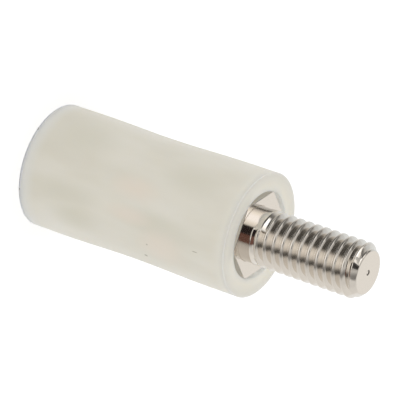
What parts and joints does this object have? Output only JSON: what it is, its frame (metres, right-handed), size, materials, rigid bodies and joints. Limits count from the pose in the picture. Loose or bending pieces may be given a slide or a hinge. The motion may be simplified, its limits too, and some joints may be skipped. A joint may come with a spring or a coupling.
{
  "type": "insulated threaded standoff",
  "caption": "Round nylon spacer with a metal M6 stud at one end and a tapped M6 metal insert at the other, insulated from each other.",
  "frame": {"origin": "centre of the round end face at the tapped end, on which the standoff stands", "axes": "+Z along the spacer's axis towards the stud; +X through one corner of the hexagonal inserts"},
  "size_m": [0.013, 0.013, 0.0377],
  "materials": {
    "nylon": "natural nylon, slightly translucent, satin",
    "nickel_plate": "turned brass with bright nickel plating"
  },
  "bodies": {
    "root": {"insulator_body": "nylon", "stud_insert": "nickel_plate", "tapped_insert": "nickel_plate"}
  },
  "joints": []
}
